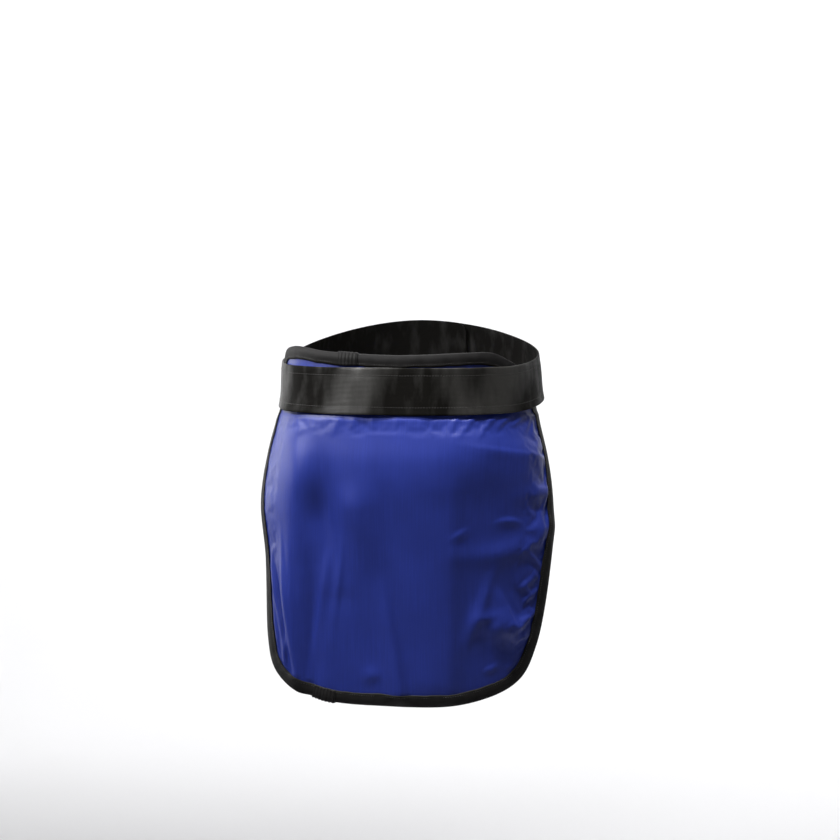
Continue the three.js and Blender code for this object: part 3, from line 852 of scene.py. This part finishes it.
def tape_laps():
    """Each lap is a run of the tape's own rings, lifted by its thickness and by ribs, squares of a
    cosine along the edge. Its two ends are closed by quads between its outside and its inside."""
    row = edge_places(0, len(OUTLINE), LAP_STATIONS)[:-1]
    reach = np.arange(LAP_STATIONS) * edge_length / LAP_STATIONS
    ribs = LAP_RIB_RISE * np.cos(math.pi * reach / LAP_RIB_PITCH) ** 2
    lifted = tape_rings(row, section, (TAPE_THICKNESS + LAP_GAP + ribs)[:, None])
    size = len(section)
    step = np.arange(size // 2 - 1)
    cap = np.stack((step, size - 1 - step, size - 2 - step, step + 1), axis=-1)
    parts = []
    for middle, edge_side, half_length in LAPS:
        near = np.abs(row[:, 0] - middle) < half_length
        rings = lifted[near & (np.sign(row[:, 1]) == edge_side)]
        last = (len(rings) - 1) * size
        around = grid_quads(len(rings), size, round_columns=True)
        parts.append((rings.reshape(-1, 3), np.concatenate((around, cap, cap[:, ::-1] + last))))
    return join(parts)


points, quads = tape_laps()
laps = add_piece("binding_laps", points * MM, quads)
laps.data.materials.append(tape_black)
# Its weave is laid on from the front, by x and z
set_flat_map(laps, points[quads][..., [0, 2]] * MM)
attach(laps, "root")


# Belt: one strap of black satin webbing, sewn across the panel's front with a row of stitches near
# each of its edges. It goes round the waist, rises towards the back and laps over itself there.
BELT_THICKNESS = 2.4
BELT_GAP = 0.6
BELT_OVERLAP = 130.0
BELT_END_RADIUS = 12.0
BELT_REAR_RISE = 55.0
BELT_SIDE_FLARE = 6.0
TAPE_STEP_START = 105.0
TAPE_STEP_END = 138.0
OVERLAP_LIFT_RUN = 70.0
RISE_START = 0.3
FLARE_MIDDLE = 0.5
FLARE_WIDTH = 0.13
FASTENER_THICKNESS = 2.0
BELT_STATIONS = 600
BELT_END_STATIONS = 10
BELT_FACE_COLUMNS = 26
BELT_EDGE_STEPS = 4
BELT_STITCH_IN = 10.5
BELT_STITCH_PITCH = 3.6
BELT_STITCH_REACH = 226.0
SEAM_DEPTH = 0.22
SEAM_HALF_WIDTH = 1.3
# Waves of the strap where it is pulled taut in front: arc, lean, half width, height
BELT_WAVES = (
    (-150, 0.1, 22, 3.0),
    (-30, 0.25, 25, 3.4),
    (44, -0.2, 15, 2.2),
    (118, 0.2, 30, 2.0),
    (-62, 0.5, 8, 0.3),
    (95, -0.4, 10, 0.3),
    (170, 0.3, 16, 0.6),
)
# Painted sheen on the belt: where its colour is painted lighter, as if the satin caught the light there:
# arc, lean, half width, share
PAINTED_SATIN_GLINTS = (
    (-205, 0.0, 32, 1.0),
    (-66, 0.45, 24, 0.8),
    (-28, 0.5, 14, 0.45),
    (84, -0.35, 20, 0.45),
    (146, 0.3, 34, 1.0),
)
WEBBING_DARK = (0.0042, 0.0039, 0.0033)
WEBBING_LIT = (0.0210, 0.0198, 0.0180)

waist = half_girth(np.zeros(1), np.ones(1, int))[0]
belt_end = 1 + BELT_OVERLAP / 2 / waist


def belt_point(way, across, offset):
    """Point of the belt: way is 0 at the front line and 1 or -1 at the back line, from where it goes
    on along the other side. across is up from its middle, offset out from its inner face. It rises
    to the back, steps up on the tape, flares at the right side and bends in a few waves."""
    turned = np.where(np.abs(way) > 1, way - 2 * np.sign(way), way)
    z = across + BELT_REAR_RISE * smooth(np.abs(turned), RISE_START, 1)
    arc = turned * half_girth(z, np.where(turned < 0, 0, 1))
    over_tape = (TAPE_GAP + TAPE_THICKNESS) * smooth(np.abs(arc), TAPE_STEP_START, TAPE_STEP_END)
    low = 0.5 - across / BELT_WIDTH
    flare = BELT_SIDE_FLARE * low * np.exp(-((way - FLARE_MIDDLE) / FLARE_WIDTH) ** 2)
    waves = np.zeros_like(arc)
    for crest, lean, width, height in BELT_WAVES:
        waves = waves + height * np.exp(-((arc - crest - lean * across) / width) ** 2)
    out = PANEL_THICKNESS / 2 + BELT_GAP + over_tape + flare + waves + offset
    return wrap(arc, z) + outward(arc, z) * out[..., None]


def belt_lift(way):
    """Lift of the belt's last stretch over its first and the fastener, eased in before the lap."""
    lift_end = waist - BELT_OVERLAP / 2 - BELT_END_RADIUS
    lift = BELT_THICKNESS + FASTENER_THICKNESS + 2 * BELT_GAP
    return lift * smooth(way * waist, lift_end - OVERLAP_LIFT_RUN, lift_end)


def strap_section(to_end, width, thickness, radius, columns):
    """Closed section of a flat strap at each distance to its end, as (across, offset): the inner face
    up, a half round edge, the outer face down and the other edge. It narrows at the strap's round
    corners by radius - sqrt(radius^2 - (radius - distance)^2)."""
    face = np.linspace(-1, 1, columns)
    turn = np.linspace(-QUARTER_TURN, QUARTER_TURN, BELT_EDGE_STEPS + 2)[1:-1]
    ends = np.ones(BELT_EDGE_STEPS)
    share = np.concatenate((face, ends, face[::-1], -ends))
    bulge = np.concatenate((np.zeros(columns), np.cos(turn), np.zeros(columns), -np.cos(turn)))
    offset = np.concatenate((
        np.zeros(columns), thickness / 2 * (1 + np.sin(turn)),
        np.full(columns, thickness), thickness / 2 * (1 - np.sin(turn)),
    ))
    corner = radius - np.sqrt(radius ** 2 - (radius - np.minimum(to_end, radius)) ** 2)
    half_width = (width / 2 - thickness / 2 - corner)[:, None]
    return half_width * share + thickness / 2 * bulge, offset


def strap_quads(stations, columns):
    """Quads of a strap swept through rings, and those that close both ends from face to face."""
    size = 2 * (columns + BELT_EDGE_STEPS)
    sides = grid_quads(stations, size, round_columns=True)
    inner = np.arange(columns - 1)
    outer = size - BELT_EDGE_STEPS - 1 - inner
    end = np.stack((inner, inner + 1, outer - 1, outer), axis=-1)
    top = np.arange(columns - 1, columns + BELT_EDGE_STEPS + 1)
    bottom = np.concatenate((np.arange(size - BELT_EDGE_STEPS - 1, size), [0]))
    half = (BELT_EDGE_STEPS + 1) // 2
    rounds = [
        np.stack((edge[:half], edge[1:half + 1], edge[::-1][1:half + 1], edge[::-1][:half]), axis=-1)
        for edge in (top, bottom)
    ]
    cap = np.concatenate((end, *rounds))
    cap = cap[(np.diff(np.sort(cap, axis=1), axis=1) > 0).all(axis=1)]
    return sides, np.concatenate((cap[:, ::-1], cap + (stations - 1) * size))


end_run = BELT_END_RADIUS / waist
end_ways = end_run * (1 - np.cos(np.linspace(0, QUARTER_TURN, BELT_END_STATIONS)[:-1]))
way = np.concatenate((
    end_ways - belt_end,
    np.linspace(end_run - belt_end, belt_end - end_run, BELT_STATIONS),
    (belt_end - end_ways)[::-1],
))
to_end = (belt_end - np.abs(way)) * waist
across, offset = strap_section(
    to_end, BELT_WIDTH, BELT_THICKNESS, BELT_END_RADIUS, BELT_FACE_COLUMNS
)
seam = np.exp(-((np.abs(across) - (BELT_WIDTH / 2 - BELT_STITCH_IN)) / SEAM_HALF_WIDTH) ** 2)
dip = SEAM_DEPTH * seam * np.where(offset > BELT_THICKNESS / 2, 1, 0)
ways = np.broadcast_to(way[:, None], across.shape)
rings = belt_point(ways, across, offset + belt_lift(ways) - dip)
sides, ends = strap_quads(len(way), BELT_FACE_COLUMNS)
belt = add_piece("belt_strap", rings * MM, np.concatenate((sides, ends)))
front = across[len(way) // 2]
steps = np.hypot(np.diff(front, append=front[:1]), np.diff(offset, append=offset[:1]))
around = np.concatenate(([0], np.cumsum(steps)))
side_map = ring_map(len(way), len(offset), way * waist, around, round_rows=False)
flat_point = np.stack((ways * waist, across), axis=-1).reshape(-1, 2)
set_flat_map(belt, np.concatenate((side_map, flat_point[ends])) * MM)

# Painted sheen: each point's share of light painted into the belt's colour, kept as the satin attribute
painted_glint = np.zeros_like(across)
for spot, lean, width, strength in PAINTED_SATIN_GLINTS:
    painted_glint += strength * np.exp(-((ways * waist - spot - lean * across) / width) ** 2)
satin = belt.data.attributes.new("satin", "FLOAT", "POINT")
satin.data.foreach_set("value", np.minimum(painted_glint, 1).astype(np.float32).ravel())

webbing, tree, shader = shader_of("satin_webbing", Sheen_Weight=0.01, Sheen_Roughness=0.4)
cut = add_node(tree, "ShaderNodeUVMap", uv_map="flat").outputs["UV"]
lines = add_node(
    tree, "ShaderNodeTexWave", {"Vector": cut, "Scale": 190.0, "Distortion": 0.4}, bands_direction="Y"
)
cross = add_node(
    tree, "ShaderNodeTexWave", {"Vector": cut, "Scale": 330.0, "Distortion": 0.4}, bands_direction="X"
)
blotch_place = add_node(tree, "ShaderNodeMapping", {"Vector": cut, "Scale": (64, 20, 1)})
blotch = add_node(
    tree, "ShaderNodeTexNoise", {"Vector": blotch_place.outputs["Vector"], "Scale": 1.0, "Detail": 6.0}
)
mottle = value_between(tree, blotch.outputs["Fac"], -0.55, 0.55)
# Painted sheen, read from the satin attribute and added to the random mottle
painted_sheen = add_node(tree, "ShaderNodeAttribute", attribute_name="satin").outputs["Fac"]
mottle_and_painted_sheen = add_node(
    tree, "ShaderNodeMath", {0: mottle, 1: painted_sheen}, operation="ADD", use_clamp=True
).outputs[0]
relief = add_node(
    tree, "ShaderNodeMath", {0: lines.outputs["Fac"], 1: cross.outputs["Fac"]}, operation="ADD"
)
bump = add_node(
    tree, "ShaderNodeBump", {"Height": relief.outputs[0], "Strength": 0.4, "Distance": 0.0002}
)
# Base colour goes from dark to lit with the mottle and the painted sheen, which also raises the gloss
tree.links.new(colour_between(tree, mottle_and_painted_sheen, WEBBING_DARK, WEBBING_LIT), shader.inputs["Base Color"])
tree.links.new(value_between(tree, mottle_and_painted_sheen, 0.04, 0.55), shader.inputs["Specular IOR Level"])
tree.links.new(value_between(tree, mottle_and_painted_sheen, 0.52, 0.36), shader.inputs["Roughness"])
tree.links.new(bump.outputs["Normal"], shader.inputs["Normal"])
belt.data.materials.append(webbing)
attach(belt, "root")
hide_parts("belt")


# Belt stitches: two rows that sew the belt to the panel, and a box of stitches on its outer end
# that holds the fastener. The thread is the same black as on the tape.
BOX_HALF_LENGTH = 46.0
BOX_HALF_HEIGHT = 21.0


def belt_row(start, end, heights):
    """Stitches on the belt's outer face, evenly along a straight row: way round in millimetres from
    start to end, height from the first to the second."""
    length = math.hypot(end - start, heights[1] - heights[0])
    count = int(length / BELT_STITCH_PITCH)
    t = np.linspace(0, 1, count)
    way = (start + (end - start) * t) / waist
    across = heights[0] + (heights[1] - heights[0]) * t
    top = BELT_THICKNESS + belt_lift(way) - STITCH_PROUD
    spots = belt_point(way, across, top)
    normal = unit(belt_point(way, across, top + 1) - spots)
    return stitch_row(spots, unit(np.gradient(spots, axis=0)), normal)


row_height = BELT_WIDTH / 2 - BELT_STITCH_IN
parts = [
    belt_row(-BELT_STITCH_REACH, BELT_STITCH_REACH, (height, height))
    for height in (-row_height, row_height)
]
box_low = waist - BOX_HALF_LENGTH
box_high = waist + BOX_HALF_LENGTH
for height in (-BOX_HALF_HEIGHT, BOX_HALF_HEIGHT):
    parts.append(belt_row(box_low, box_high, (height, height)))
for spot in (box_low, box_high):
    parts.append(belt_row(spot, spot, (-BOX_HALF_HEIGHT, BOX_HALF_HEIGHT)))
points, quads = join(parts)
belt_stitches = add_piece("belt_stitches", points * MM, quads)
belt_stitches.data.materials.append(thread)
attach(belt_stitches, "root")


# Belt fastener: hook tape and loop tape sewn to the belt's two ends, pressed together between them.
# It is nylon, matt and black, with rounded corners.
FASTENER_LENGTH = 100.0
FASTENER_HEIGHT = 50.0
FASTENER_CORNER = 4.0
FASTENER_STATIONS = 60
FASTENER_COLUMNS = 20
PILE_DARK = (0.004, 0.0038, 0.0036)
PILE_LIT = (0.013, 0.0125, 0.012)

run = np.linspace(-1, 1, FASTENER_STATIONS)
to_end = (1 - np.abs(run)) * FASTENER_LENGTH / 2
across, offset = strap_section(
    to_end, FASTENER_HEIGHT, FASTENER_THICKNESS, FASTENER_CORNER, FASTENER_COLUMNS
)
ways = np.broadcast_to((1 + run * FASTENER_LENGTH / 2 / waist)[:, None], across.shape)
rings = belt_point(ways, across, np.broadcast_to(BELT_THICKNESS + BELT_GAP + offset, across.shape))
sides, ends = strap_quads(FASTENER_STATIONS, FASTENER_COLUMNS)
fastener = add_piece("belt_closure", rings * MM, np.concatenate((sides, ends)))
pile, tree, shader = shader_of("hook_and_loop_pile", Specular_IOR_Level=0.3, Sheen_Weight=0.2)
place = add_node(tree, "ShaderNodeTexCoord").outputs["Object"]
hooks = add_node(tree, "ShaderNodeTexVoronoi", {"Vector": place, "Scale": 700.0})
fuzz = colour_between(tree, hooks.outputs["Distance"], PILE_LIT, PILE_DARK, 0.1, 0.7)
bump = add_node(
    tree, "ShaderNodeBump", {"Height": hooks.outputs["Distance"], "Strength": 0.8, "Distance": 0.0005}
)
tree.links.new(fuzz, shader.inputs["Base Color"])
tree.links.new(value_between(tree, hooks.outputs["Distance"], 0.8, 1.0), shader.inputs["Roughness"])
tree.links.new(bump.outputs["Normal"], shader.inputs["Normal"])
fastener.data.materials.append(pile)
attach(fastener, "root")
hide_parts("belt_fastener")
